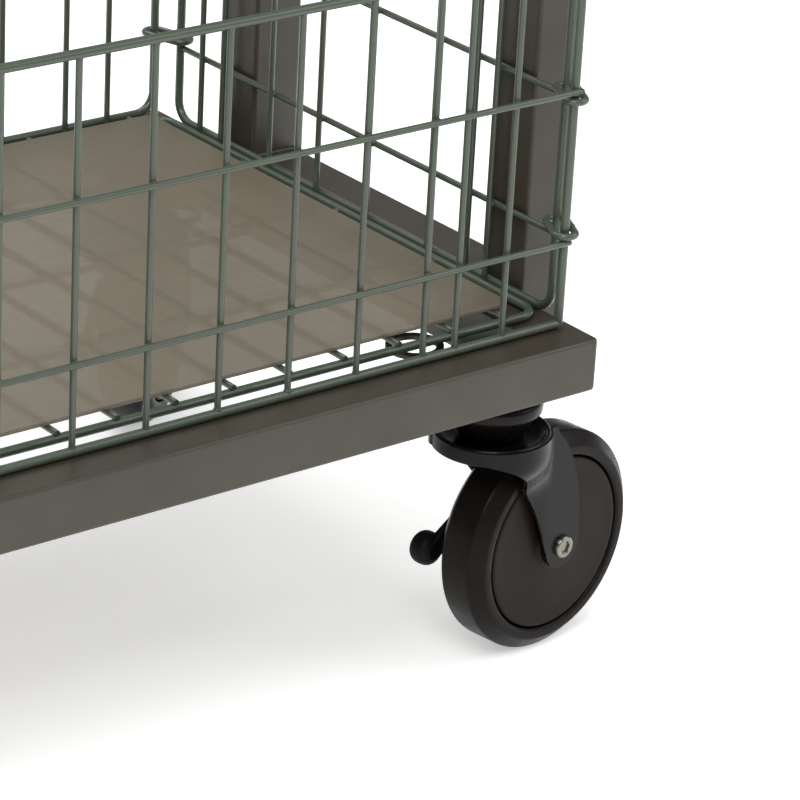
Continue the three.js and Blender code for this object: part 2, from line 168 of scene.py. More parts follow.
def smokedPlasticSheet():
    # calendered PVC: smoky and half clear, glossy, lies in long shallow waves that bend its reflections
    sockets = {"IOR": 1.4, "Alpha": 0.86, "Transmission Weight": 0.35}
    material, tree, shader, place = newMaterial("smokedPlasticSheet", sockets)
    cloud = addNode(tree, "ShaderNodeTexNoise", {}, {"Vector": place, "Scale": 1 / (180 * mm), "Detail": 2})
    tone = addNode(tree, "ShaderNodeMix", {"data_type": "RGBA"},
                   {0: cloud.outputs["Fac"], 6: toLinear("#7d7566"), 7: toLinear("#8d8370")})
    wave = addNode(tree, "ShaderNodeTexNoise", {}, {"Vector": place, "Scale": 1 / (70 * mm), "Detail": 1})
    scuff = addNode(tree, "ShaderNodeTexNoise", {}, {"Vector": place, "Scale": 1 / (6 * mm), "Detail": 5})
    gloss = addNode(tree, "ShaderNodeMapRange", {},
                    {"Value": scuff.outputs["Fac"], "From Min": 0.35, "From Max": 0.75, "To Min": 0.42,
                     "To Max": 0.55})
    bump = addNode(tree, "ShaderNodeBump", {},
                   {"Strength": 0.3, "Distance": 0.8 * mm, "Height": wave.outputs["Fac"]})
    tree.links.new(tone.outputs[2], shader.inputs["Base Color"])
    tree.links.new(gloss.outputs["Result"], shader.inputs["Roughness"])
    tree.links.new(bump.outputs["Normal"], shader.inputs["Normal"])
    return material


def blackEnamel():
    # stoved enamel on pressed steel: near black with a brown cast, wet-looking highlights, faint ripple
    sockets = {"IOR": 1.5, "Specular IOR Level": 0.15, "Coat Weight": 0.08, "Coat Roughness": 0.08}
    material, tree, shader, place = newMaterial("blackEnamel", sockets)
    drift = addNode(tree, "ShaderNodeTexNoise", {}, {"Vector": place, "Scale": 1 / (25 * mm), "Detail": 4})
    tone = addNode(tree, "ShaderNodeMix", {"data_type": "RGBA"},
                   {0: drift.outputs["Fac"], 6: toLinear("#0b0908"), 7: toLinear("#130f0d")})
    gloss = addNode(tree, "ShaderNodeMapRange", {},
                    {"Value": drift.outputs["Fac"], "From Min": 0.3, "From Max": 0.7, "To Min": 0.2,
                     "To Max": 0.34})
    ripple = addNode(tree, "ShaderNodeTexNoise", {}, {"Vector": place, "Scale": 1 / (2.5 * mm), "Detail": 2})
    bump = addNode(tree, "ShaderNodeBump", {},
                   {"Strength": 0.25, "Distance": 0.1 * mm, "Height": ripple.outputs["Fac"]})
    tree.links.new(tone.outputs[2], shader.inputs["Base Color"])
    tree.links.new(gloss.outputs["Result"], shader.inputs["Roughness"])
    tree.links.new(bump.outputs["Normal"], shader.inputs["Normal"])
    return material


def mouldedPolypropylene(name, dark, light, low, high, grain):
    # injection moulded plastic: low sheen, a fine spark-eroded grain and flow clouds
    material, tree, shader, place = newMaterial(name, {"IOR": 1.49, "Specular IOR Level": 0.12})
    flow = addNode(tree, "ShaderNodeTexNoise", {},
                   {"Vector": place, "Scale": 1 / (30 * mm), "Detail": 3, "Distortion": 0.6})
    tone = addNode(tree, "ShaderNodeMix", {"data_type": "RGBA"},
                   {0: flow.outputs["Fac"], 6: toLinear(dark), 7: toLinear(light)})
    gloss = addNode(tree, "ShaderNodeMapRange", {},
                    {"Value": flow.outputs["Fac"], "From Min": 0.3, "From Max": 0.7, "To Min": low,
                     "To Max": high})
    erosion = addNode(tree, "ShaderNodeTexNoise", {},
                      {"Vector": place, "Scale": 1 / (grain * mm), "Detail": 3})
    bump = addNode(tree, "ShaderNodeBump", {},
                   {"Strength": 0.3, "Distance": 0.08 * mm, "Height": erosion.outputs["Fac"]})
    tree.links.new(tone.outputs[2], shader.inputs["Base Color"])
    tree.links.new(gloss.outputs["Result"], shader.inputs["Roughness"])
    tree.links.new(bump.outputs["Normal"], shader.inputs["Normal"])
    return material


def blackRubber():
    # vulcanised rubber tread: soft sheen, fine pores and greyish scuffs where it has rolled
    material, tree, shader, place = newMaterial("blackRubber", {"IOR": 1.52, "Specular IOR Level": 0.12})
    scuff = addNode(tree, "ShaderNodeTexNoise", {},
                    {"Vector": place, "Scale": 1 / (9 * mm), "Detail": 6, "Roughness": 0.65})
    tone = addNode(tree, "ShaderNodeMix", {"data_type": "RGBA"},
                   {0: scuff.outputs["Fac"], 6: toLinear("#0c0a09"), 7: toLinear("#171310")})
    gloss = addNode(tree, "ShaderNodeMapRange", {},
                    {"Value": scuff.outputs["Fac"], "From Min": 0.35, "From Max": 0.7, "To Min": 0.3,
                     "To Max": 0.48})
    pores = addNode(tree, "ShaderNodeTexNoise", {}, {"Vector": place, "Scale": 1 / (0.9 * mm), "Detail": 2})
    bump = addNode(tree, "ShaderNodeBump", {},
                   {"Strength": 0.25, "Distance": 0.1 * mm, "Height": pores.outputs["Fac"]})
    tree.links.new(tone.outputs[2], shader.inputs["Base Color"])
    tree.links.new(gloss.outputs["Result"], shader.inputs["Roughness"])
    tree.links.new(bump.outputs["Normal"], shader.inputs["Normal"])
    return material


def zincPlate():
    # bright zinc on turned steel: pale, a little yellow, fine turning lines under the plate
    material, tree, shader, place = newMaterial("zincPlate", {"Metallic": 1})
    spangle = addNode(tree, "ShaderNodeTexNoise", {}, {"Vector": place, "Scale": 1 / (2.2 * mm), "Detail": 3})
    tone = addNode(tree, "ShaderNodeMix", {"data_type": "RGBA"},
                   {0: spangle.outputs["Fac"], 6: toLinear("#77756a"), 7: toLinear("#9a988c")})
    gloss = addNode(tree, "ShaderNodeMapRange", {},
                    {"Value": spangle.outputs["Fac"], "From Min": 0.3, "From Max": 0.7, "To Min": 0.22,
                     "To Max": 0.38})
    tree.links.new(tone.outputs[2], shader.inputs["Base Color"])
    tree.links.new(gloss.outputs["Result"], shader.inputs["Roughness"])
    return material


def paleFloor():
    # painted studio floor: white, matt, with the faintest roller mottle
    sockets = {"Roughness": 0.9, "Emission Color": (1, 1, 1, 1), "Emission Strength": 0.45}
    material, tree, shader, place = newMaterial("paleFloor", sockets)
    mottle = addNode(tree, "ShaderNodeTexNoise", {}, {"Vector": place, "Scale": 1 / (400 * mm), "Detail": 3})
    tone = addNode(tree, "ShaderNodeMix", {"data_type": "RGBA"},
                   {0: mottle.outputs["Fac"], 6: toLinear("#eeeeed"), 7: toLinear("#f6f6f6")})
    tree.links.new(tone.outputs[2], shader.inputs["Base Color"])
    return material


taupe = powderCoatedSteel()
green = dipCoatedWire()
smoked = smokedPlasticSheet()
enamel = blackEnamel()
capPlastic = mouldedPolypropylene("mouldedCapPlastic", "#0c0b0a", "#141211", 0.42, 0.55, 1.0)
wheelPlastic = mouldedPolypropylene("mouldedWheelPlastic", "#17110d", "#1f1712", 0.36, 0.48, 1.2)
rubber = blackRubber()
zinc = zincPlate()
print("stage: materials")


# mesh helpers, in millimetres
def meshObject(name, points, faces, material, edges=()):
    mesh = bpy.data.meshes.new(name)
    mesh.from_pydata([Vector(p) * mm for p in points], list(edges), faces)
    obj = bpy.data.objects.new(name, mesh)
    bpy.context.scene.collection.objects.link(obj)
    if material:
        mesh.materials.append(material)
    return obj


def tidyMesh(obj, sharpAngle=40):   # merged, turned outwards, smooth but for its real edges
    build = bmesh.new()
    build.from_mesh(obj.data)
    bmesh.ops.remove_doubles(build, verts=build.verts, dist=0.01 * mm)
    bmesh.ops.recalc_face_normals(build, faces=build.faces)
    build.to_mesh(obj.data)
    build.free()
    obj.data.polygons.foreach_set("use_smooth", [True] * len(obj.data.polygons))
    obj.data.set_sharp_from_angle(angle=math.radians(sharpAngle))
    return obj


def baked(obj):   # the evaluated shape as a plain mesh, its modifiers gone
    bpy.context.view_layer.update()
    graph = bpy.context.evaluated_depsgraph_get()
    mesh = bpy.data.meshes.new_from_object(obj.evaluated_get(graph), depsgraph=graph)
    name = obj.name
    bpy.data.objects.remove(obj)
    plain = bpy.data.objects.new(name, mesh)
    mesh.name = name
    bpy.context.scene.collection.objects.link(plain)
    return plain


def bevelled(obj, width, segments=2, angle=35):
    bevel = obj.modifiers.new("edges", "BEVEL")
    bevel.width = width * mm
    bevel.segments = segments
    bevel.limit_method = "ANGLE"
    bevel.angle_limit = math.radians(angle)
    return tidyMesh(baked(obj))


def joined(name, pieces):
    with bpy.context.temp_override(active_object=pieces[0], selected_editable_objects=pieces):
        bpy.ops.object.join()
    pieces[0].name = pieces[0].data.name = name
    return pieces[0]


def copyAt(source, name, matrix):
    obj = bpy.data.objects.new(name, source.data.copy())
    obj.data.transform(matrix)
    bpy.context.scene.collection.objects.link(obj)
    return obj


def arc(centre, radius, start, end, steps):
    turns = [math.radians(start + (end - start) * i / steps) for i in range(steps + 1)]
    return [(centre[0] + radius * math.cos(t), centre[1] + radius * math.sin(t)) for t in turns]


def curved(a, b, c, steps):   # from a to c, drawn towards b
    path = []
    for i in range(steps + 1):
        t = i / steps
        path.append(tuple((1 - t) ** 2 * a[k] + 2 * t * (1 - t) * b[k] + t * t * c[k] for k in (0, 1)))
    return path


def softened(outline, radius, steps=4):   # a closed outline with its corners rounded
    result = []
    for i, corner in enumerate(outline):
        here = Vector(corner[:2])
        ends = []
        for other in (outline[i - 1], outline[(i + 1) % len(outline)]):
            along = Vector(other[:2]) - here
            ends.append(here + along.normalized() * min(radius, along.length * 0.48))
        result += curved(ends[0], here, ends[1], steps)
    return result


def rectangle(x0, y0, x1, y1):
    return [(x0, y0), (x1, y0), (x1, y1), (x0, y1)]


def gridFaces(count, length, wrapAcross, wrapAlong):
    across = count if wrapAcross else count - 1
    along = length if wrapAlong else length - 1
    faces = []
    for i in range(across):
        for j in range(along):
            i2, j2 = (i + 1) % count, (j + 1) % length
            faces.append((i * length + j, i2 * length + j, i2 * length + j2, i * length + j2))
    return faces


def lathe(name, profile, material, segments):   # (radius, height) points turned about Z
    points = []
    for i in range(segments):
        turn = 2 * math.pi * i / segments
        points += [(r * math.cos(turn), r * math.sin(turn), h) for r, h in profile]
    faces = gridFaces(segments, len(profile), True, True)
    return tidyMesh(meshObject(name, points, faces, material))


def platePiece(name, outlines, bottom, top, edge, material):   # flat outlines with holes, edges eased
    curve = bpy.data.curves.new(name, "CURVE")
    curve.dimensions = "2D"
    curve.fill_mode = "BOTH"
    curve.extrude = ((top - bottom) / 2 - edge) * mm
    curve.bevel_depth = edge * mm
    curve.bevel_resolution = 2
    curve.offset = -edge * mm
    for outline in outlines:
        spline = curve.splines.new("POLY")
        spline.points.add(len(outline) - 1)
        for point, place in zip(spline.points, outline):
            point.co = (place[0] * mm, place[1] * mm, 0, 1)
        spline.use_cyclic_u = True
    obj = bpy.data.objects.new(name, curve)
    bpy.context.scene.collection.objects.link(obj)
    obj = baked(obj)
    obj.data.materials.clear()
    obj.data.materials.append(material)
    obj.data.transform(Matrix.Translation((0, 0, (bottom + top) / 2 * mm)))
    return tidyMesh(obj)


def squareTube(name, low, high, axis, wall, radius, material):   # hollow, with rounded long edges
    a, b = [k for k in range(3) if k != axis]
    loops = []
    for inset, ends in ((0, (low[axis], high[axis])), (wall, (high[axis], low[axis]))):
        outline = rectangle(low[a] + inset, low[b] + inset, high[a] - inset, high[b] - inset)
        section = softened(outline, max(radius - inset, 0.4), 5)
        for end in ends:
            loops.append([(p, end) for p in section])
    points = []
    for loop in loops:
        for place, along in loop:
            point = [0, 0, 0]
            point[a], point[b], point[axis] = place[0], place[1], along
            points.append(point)
    return tidyMesh(meshObject(name, points, gridFaces(4, len(loops[0]), True, True), material))


def finishPiece(obj, body, slot, *nodes):
    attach(obj, body)
    if nodes:
        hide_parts(*nodes)
    return obj


# geometry node trees: wires with their welds, and weld beads
def newTree(name, inputs):
    tree = bpy.data.node_groups.new(name, "GeometryNodeTree")
    tree.interface.new_socket("Geometry", in_out="INPUT", socket_type="NodeSocketGeometry")
    tree.interface.new_socket("Geometry", in_out="OUTPUT", socket_type="NodeSocketGeometry")
    for label, kind in inputs.items():
        tree.interface.new_socket(label, in_out="INPUT", socket_type="NodeSocket" + kind)
    return tree, tree.nodes.new("NodeGroupInput").outputs


def endTree(tree, parts, given):   # joined, smooth, real geometry with its finish
    whole = addNode(tree, "GeometryNodeJoinGeometry")
    for part in parts:
        tree.links.new(part, whole.inputs[0])
    smooth = addNode(tree, "GeometryNodeSetShadeSmooth", {}, {"Geometry": whole.outputs[0]})
    real = addNode(tree, "GeometryNodeRealizeInstances", {}, {"Geometry": smooth.outputs[0]})
    coat = addNode(tree, "GeometryNodeSetMaterial", {},
                   {"Geometry": real.outputs[0], "Material": given["Material"]})
    tree.links.new(coat.outputs[0], tree.nodes.new("NodeGroupOutput").inputs[0])
    return tree


def half(tree, value):
    return addNode(tree, "ShaderNodeMath", {"operation": "MULTIPLY"}, {0: value, 1: 0.5}).outputs[0]


# edges marked "thick" become rods, the others wires, and points marked "weld" get a nugget
def weldedWireTree():
    tree, given = newTree("weldedWire", {
        "Rod Diameter": "Float", "Wire Diameter": "Float", "Rod Bend": "Float", "Wire Bend": "Float",
        "Sides": "Int", "Nugget Size": "Float", "Seed": "Int", "Material": "Material"})
    thick = addNode(tree, "GeometryNodeInputNamedAttribute", {"data_type": "BOOLEAN"}, {"Name": "thick"})
    weld = addNode(tree, "GeometryNodeInputNamedAttribute", {"data_type": "BOOLEAN"}, {"Name": "weld"})
    thin = addNode(tree, "FunctionNodeBooleanMath", {"operation": "NOT"}, {0: thick.outputs[0]})
    parts = []
    for chosen, size, bend in ((thick, "Rod Diameter", "Rod Bend"), (thin, "Wire Diameter", "Wire Bend")):
        path = addNode(tree, "GeometryNodeMeshToCurve", {},
                       {"Mesh": given["Geometry"], "Selection": chosen.outputs[0]})
        bent = addNode(tree, "GeometryNodeFilletCurve", {"mode": "POLY"},
                       {"Curve": path.outputs[0], "Count": 6, "Radius": given[bend], "Limit Radius": True})
        section = addNode(tree, "GeometryNodeCurvePrimitiveCircle", {},
                          {"Resolution": given["Sides"], "Radius": half(tree, given[size])})
        drawn = addNode(tree, "GeometryNodeCurveToMesh", {},
                        {"Curve": bent.outputs[0], "Profile Curve": section.outputs[0], "Fill Caps": True})
        parts.append(drawn.outputs[0])
    spots = addNode(tree, "GeometryNodeMeshToPoints", {},
                    {"Mesh": given["Geometry"], "Selection": weld.outputs[0]})
    nugget = addNode(tree, "GeometryNodeMeshUVSphere", {},
                     {"Segments": 10, "Rings": 6, "Radius": half(tree, given["Nugget Size"])})
    spin = addNode(tree, "FunctionNodeRandomValue", {"data_type": "FLOAT_VECTOR"},
                   {0: (0, 0, 0), 1: (6.28, 6.28, 6.28), "Seed": given["Seed"]})
    squash = addNode(tree, "FunctionNodeRandomValue", {"data_type": "FLOAT_VECTOR"},
                     {0: (0.8, 0.8, 0.75), 1: (1.2, 1.1, 1.0), "Seed": given["Seed"]})
    placed = addNode(tree, "GeometryNodeInstanceOnPoints", {},
                     {"Points": spots.outputs[0], "Instance": nugget.outputs[0],
                      "Rotation": spin.outputs[0], "Scale": squash.outputs[0]})
    parts.append(placed.outputs[0])
    return endTree(tree, parts, given)


def weldBeadTree():   # a rippled bead along each path of edges
    tree, given = newTree("weldBead", {
        "Bead Width": "Float", "Ripple Pitch": "Float", "Seed": "Int", "Material": "Material"})
    path = addNode(tree, "GeometryNodeMeshToCurve", {}, {"Mesh": given["Geometry"]})
    step = addNode(tree, "ShaderNodeMath", {"operation": "MULTIPLY"}, {0: given["Ripple Pitch"], 1: 0.25})
    even = addNode(tree, "GeometryNodeResampleCurve", {"mode": "LENGTH"},
                   {"Curve": path.outputs[0], "Length": step.outputs[0]})
    count = addNode(tree, "GeometryNodeInputIndex")
    phase = addNode(tree, "ShaderNodeMath", {"operation": "MULTIPLY"}, {0: count.outputs[0], 1: math.pi / 2})
    swell = addNode(tree, "ShaderNodeMath", {"operation": "SINE"}, {0: phase.outputs[0]})
    uneven = addNode(tree, "FunctionNodeRandomValue", {"data_type": "FLOAT"},
                     {2: 0.85, 3: 1.1, "Seed": given["Seed"]})
    scale = addNode(tree, "ShaderNodeMath", {"operation": "MULTIPLY_ADD"},
                    {0: swell.outputs[0], 1: 0.12, 2: uneven.outputs[1]})
    section = addNode(tree, "GeometryNodeCurvePrimitiveCircle", {},
                      {"Resolution": 10, "Radius": half(tree, given["Bead Width"])})
    bead = addNode(tree, "GeometryNodeCurveToMesh", {},
                   {"Curve": even.outputs[0], "Profile Curve": section.outputs[0],
                    "Scale": scale.outputs[0], "Fill Caps": True})
    return endTree(tree, [bead.outputs[0]], given)


# a tree run over points and edges, then a plain mesh
def grown(name, points, edges, tree, values, marks=None):
    source = meshObject(name, points, [], None, edges)
    for label, (domain, flags) in (marks or {}).items():
        source.data.attributes.new(label, "BOOLEAN", domain).data.foreach_set("value", flags)
    modifier = source.modifiers.new(tree.name, "NODES")
    modifier.node_group = tree
    for label, value in values.items():
        modifier[tree.interface.items_tree[label].identifier] = value
    return baked(source)


weldedWire = weldedWireTree()
weldBead = weldBeadTree()
print("stage: node trees")


# base frame and corner plates
base = {"tube": 30.0, "edge": 2.4, "outerCorner": 3.0, "innerCorner": 0.8}
plates = {"lift": 1.0, "thickness": 3.0, "corner": 2.0, "edge": 0.5, "near": 30.3, "far": (84, 79),
          "eye": (50, 92), "eyeOuter": 16, "eyeInner": 12, "stem": (40, 36), "bead": 3.0,
          "beadRadius": 4.4, "ripple": 2.0, "seed": 2}

railLow, railHigh = [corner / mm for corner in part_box("front_rail")]
halfLength = railHigh.x
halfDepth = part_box("back_rail")[1].y / mm
railTop = railHigh.z
railBottom = railLow.z


def baseRing():
    section = softened(rectangle(0, railBottom, base["tube"], railTop), base["edge"], 5)
    points = []
    for inset, z in section:
        radius = max(base["outerCorner"] - inset, base["innerCorner"])
        x, y = halfLength - inset, halfDepth - inset
        for sx, sy, start in ((1, 1, 0), (-1, 1, 90), (-1, -1, 180), (1, -1, 270)):
            centre = (sx * (x - radius), sy * (y - radius))
            points += [(p[0], p[1], z) for p in arc(centre, radius, start, start + 90, 5)]
    ring = meshObject("base_ring", points, gridFaces(len(section), 24, True, True), taupe)
    return tidyMesh(ring)


def cornerPlate(row, side):   # flat plate inside the corner with a round eye, welded round the caster's stem
    sx, sy = sides[side], rows[row]
    bottom = railBottom + plates["lift"]
    top = bottom + plates["thickness"]

    def at(x, y):
        return sx * (halfLength - x), sy * (halfDepth - y)

    near, far = at(plates["near"], plates["near"]), at(*plates["far"])
    (x0, x1), (y0, y1) = [sorted(pair) for pair in zip(near, far)]
    outline = softened(rectangle(x0, y0, x1, y1), plates["corner"], 4)
    flat = platePiece("flat", [outline], bottom, top, plates["edge"], taupe)
    eye = [arc(at(*plates["eye"]), r, 0, 360, 40)[:-1] for r in (plates["eyeOuter"], plates["eyeInner"])]
    ring = platePiece("eye", eye, bottom, top, plates["edge"], taupe)
    points = [(x, y, top) for x, y in arc(at(*plates["stem"]), plates["beadRadius"], 0, 360, 28)[:-1]]
    edges = [(i, (i + 1) % len(points)) for i in range(len(points))]
    values = {"Bead Width": plates["bead"] * mm, "Ripple Pitch": plates["ripple"] * mm,
              "Seed": plates["seed"], "Material": taupe}
    bead = grown("bead", points, edges, weldBead, values)
    return joined(f"corner_plate_{row}_{side}_pressed", [flat, ring, bead])


finishPiece(baseRing(), "frame", "taupe_paint", "front_rail", "back_rail", "left_rail", "right_rail")
for row in rows:
    for side in sides:
        finishPiece(cornerPlate(row, side), "frame", "taupe_paint", f"corner_plate_{row}_{side}")
print("stage: base")


# end frames: posts, crossbar, push bar, their weld beads and caps
endFrame = {"wall": 1.5, "edge": 2.6, "bead": 3.4, "ripple": 2.6, "seed": 4, "runBack": 3.0,
            "stitches": (-70, -10, 55), "stitch": 18.0}
caps = {"overPost": 0.3, "skirtGap": 0.4, "skirtCorner": 1.5, "corner": 2.6}


def beadPaths(side):
    sx = sides[side]
    low, high = [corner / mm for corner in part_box(f"crossbar_{side}")]
    inner, outer = sorted((low.x, high.x), key=abs)
    reach = high.y
    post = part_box(f"post_back_{side}")[1].y / mm
    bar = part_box(f"push_bar_{side}")
    radius = (bar[1].z - bar[0].z) / 2 / mm
    height = (bar[1].z + bar[0].z) / 2 / mm
    away = endFrame["runBack"]
    points, edges = [], []

    def run(path, closed=False):
        start = len(points)
        points.extend(path)
        edges.extend((start + i, start + i + 1) for i in range(len(path) - 1))
        if closed:
            edges.append((len(points) - 1, start))

    for sy in (-1, 1):
        run([(inner + sx * 2, sy * reach, railTop), (outer - sx * 2, sy * reach, railTop)])
        run([(outer, sy * reach, railTop - away), (outer, sy * reach, low.z + away)])
        run([(inner, sy * (reach + 2), railTop), (inner, sy * (post - 2), railTop)])
        run([(inner, sy * post, railTop - away), (inner, sy * post, railBottom + away)])
        middle = (inner + outer) / 2
        run([(middle + a, sy * reach, height + b) for a, b in arc((0, 0), radius, 0, 360, 40)[:-1]], True)
    for y in endFrame["stitches"]:
        run([(inner, y, railTop), (inner, y + endFrame["stitch"], railTop)])
    return points, edges


def endFramePieces(side):
    pieces = []
    for row in rows:
        low, high = [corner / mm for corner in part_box(f"post_{row}_{side}")]
        pieces.append(squareTube("post", low, high, 2, endFrame["wall"], endFrame["edge"], taupe))
    low, high = [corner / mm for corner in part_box(f"crossbar_{side}")]
    pieces.append(squareTube("crossbar", low, high, 1, endFrame["wall"], endFrame["edge"], taupe))
    low, high = [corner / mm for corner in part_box(f"push_bar_{side}")]
    radius, reach = (high.z - low.z) / 2, high.y
    profile = [(radius, -reach), (radius, reach), (radius - endFrame["wall"], reach),
               (radius - endFrame["wall"], -reach)]
    grip = lathe("grip", profile, taupe, 48)
    along = Matrix.Translation(((low.x + high.x) / 2 * mm, 0, (low.z + high.z) / 2 * mm))
    grip.data.transform(along @ Matrix.Rotation(math.pi / 2, 4, "X"))
    pieces.append(grip)
    points, edges = beadPaths(side)
    values = {"Bead Width": endFrame["bead"] * mm, "Ripple Pitch": endFrame["ripple"] * mm,
              "Seed": endFrame["seed"], "Material": taupe}
    pieces.append(grown("beads", points, edges, weldBead, values))
    return joined(f"end_frame_{side}", pieces)


def postCap(row, side):   # moulded lid with a crowned top and a skirt inside the post
    low, high = [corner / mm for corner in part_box(f"post_cap_{row}_{side}")]
    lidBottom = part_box(f"post_{row}_{side}")[1].z / mm + caps["overPost"]
    half = (high.x - low.x) / 2
    skirt = half - endFrame["wall"] - caps["skirtGap"]
    layers = [   # half width, height and corner radius, from the skirt up to the crown
        (skirt, low.z, caps["skirtCorner"]),
        (skirt, lidBottom, caps["skirtCorner"]),
        (half, lidBottom, caps["corner"]),
        (half, high.z - 2.0, caps["corner"]),
        (half - 0.6, high.z - 1.3, caps["corner"]),
        (half - 2.4, high.z - 0.6, 3.5),
        (half * 0.6, high.z - 0.1, 4.5),
        (0.5, high.z, 0.2),
    ]
    points = []
    for size, z, corner in layers:
        section = softened(rectangle(-size, -size, size, size), corner, 5)
        points += [((low.x + high.x) / 2 + p[0], (low.y + high.y) / 2 + p[1], z) for p in section]
    count = len(points) // len(layers)
    faces = gridFaces(len(layers), count, False, True)
    faces.append(tuple(range(count)))
    faces.append(tuple(range(len(points) - count, len(points))))
    return tidyMesh(meshObject(f"post_cap_{row}_{side}_moulded", points, faces, capPlastic))


for side in sides:
    finishPiece(endFramePieces(side), "frame", "taupe_paint", f"post_front_{side}", f"post_back_{side}",
                f"crossbar_{side}", f"push_bar_{side}")
    for row in rows:
        finishPiece(postCap(row, side), "frame", "black_plastic", f"post_cap_{row}_{side}")
print("stage: end frames")


# wire panels, gate and floor grid
wires = {"rod": 5.0, "wire": 3.5, "sink": 0.2, "bend": 12.0, "wireBend": 3.2, "sides": 14, "nugget": 4.3,
         "overhang": 1.2, "lift": 0.3, "seed": 11}
panels = {"height": 847, "rows": [46.5, 124, 201, 415, 629],
          "backPitch": 44.2, "backCount": 8, "backEnd": 43.6, "backInset": 9, "backSetback": 10,
          "sideRods": (37, 381.5), "sideColumns": [90, 107, 140, 196, 242, 288, 335, 356], "sideInset": 3}
gate = {"height": 208, "rows": [49.5, 133], "pitch": 43.2, "count": 8, "ends": [49.6, 81.2],
        "setback": 22, "inset": 10.5}
grid = {"front": 38.5, "back": 386, "inset": 10.5, "pitch": 35.2, "count": 11, "cross": 3, "overFront": 1.6,
        "nugget": 3.8}


class Wirework:   # paths and weld spots drawn on a panel: u along it, v up it, w behind it
    def __init__(self, place):
        self.place = place
        self.points, self.edges, self.thick, self.weld = [], [], [], []

    def run(self, path, thick=False, closed=False):
        start = len(self.points)
        self.points += [self.place(*p) for p in path]
        self.weld += [False] * len(path)
        steps = [(start + i, start + i + 1) for i in range(len(path) - 1)]
        steps += [(len(self.points) - 1, start)] if closed else []
        self.edges += steps
        self.thick += [thick] * len(steps)

    def spot(self, *place):
        self.points.append(self.place(*place))
        self.weld.append(True)

    def grow(self, name, seed, bend=wires["bend"], nugget=wires["nugget"], rod=wires["rod"]):
        values = {"Rod Diameter": rod * mm, "Wire Diameter": wires["wire"] * mm,
                  "Rod Bend": bend * mm, "Wire Bend": wires["wireBend"] * mm, "Sides": wires["sides"],
                  "Nugget Size": nugget * mm, "Seed": seed, "Material": green}
        marks = {"thick": ("EDGE", self.thick), "weld": ("POINT", self.weld)}
        return grown(name, self.points, self.edges, weldedWire, values, marks)


def mirrored(values):
    return sorted({0.0 if v == 0 else s * v for v in values for s in (-1, 1)})


# upright and level wires and their welds
def crossWires(work, half, bottom, top, columns, heights, columnW, rowW):
    past = wires["overhang"]
    for u in columns:
        work.run([(u, bottom - past, columnW), (u, top + past, columnW)])
        for v in (bottom, top):
            work.spot(u, v, columnW / 2)
        for v in heights:
            work.spot(u, v, (columnW + rowW) / 2)
    for v in heights:
        work.run([(-half - past, v, rowW), (half + past, v, rowW)])
        for u in (-half, half):
            work.spot(u, v, rowW / 2)


def standingPanel(name, half, columns, place, seed):
    work = Wirework(place)
    bottom = railTop + wires["lift"] + wires["rod"] / 2
    top = bottom + panels["height"] - wires["rod"]
    work.run([(-half, bottom, 0), (half, bottom, 0), (half, top, 0), (-half, top, 0)], True, True)
    heights = [railTop + wires["lift"] + h for h in panels["rows"]]
    columnW = -wires["rod"] / 2
    rowW = columnW + wires["wire"] - wires["sink"]
    crossWires(work, half, bottom, top, columns, heights, columnW, rowW)
    return work.grow(name, seed)


def backPanel():
    half = halfLength - panels["backInset"]
    plane = halfDepth - panels["backSetback"]
    columns = mirrored([(i + 0.5) * panels["backPitch"] for i in range(panels["backCount"])]
                       + [halfLength - panels["backEnd"]])
    return standingPanel("back_panel_wires", half, columns, lambda u, v, w: (u, plane + w, v), wires["seed"])


def sidePanel(side):
    sx = sides[side]
    first, last = [d - halfDepth for d in panels["sideRods"]]
    middle, half = (first + last) / 2, (last - first) / 2
    columns = [d - halfDepth - middle for d in panels["sideColumns"]]
    plane = halfLength - panels["sideInset"]
    name = f"side_panel_{side}_wires"
    return standingPanel(name, half, columns, lambda u, v, w: (sx * (plane + w), middle + u, v),
                         wires["seed"] + sx)


def frontGate():
    half = halfLength - gate["inset"]
    plane = gate["setback"] - halfDepth
    bottom = railTop + wires["lift"] + wires["rod"] / 2
    top = bottom + gate["height"] - wires["rod"]
    work = Wirework(lambda u, v, w: (u, plane + w, v))
    for v in (bottom, top):
        work.run([(-half, v, 0), (half, v, 0)], True)
    for u in (-half, half):
        work.run([(u, bottom - wires["rod"] / 2, 0), (u, top + wires["rod"] / 2, 0)], True)
        for v in (bottom, top):
            work.spot(u - math.copysign(wires["rod"] / 2, u), v, 0)
    columns = mirrored([i * gate["pitch"] for i in range(gate["count"])]
                       + [halfLength - e for e in gate["ends"]])
    heights = [railTop + wires["lift"] + h for h in gate["rows"]]
    past = wires["overhang"]
    rowW = wires["sink"] - wires["wire"]
    for u in columns:
        work.run([(u, bottom, 0), (u, top, 0)])
        for v in heights:
            work.spot(u, v, rowW / 2)
        for v, up in ((bottom, 1), (top, -1)):
            work.spot(u, v + up * 2, 0)
    for v in heights:
        work.run([(-half - past, v, rowW), (half + past, v, rowW)])
        for u in (-half, half):
            work.spot(u, v, rowW / 2)
    return work.grow("front_gate_wires", wires["seed"] + 5)


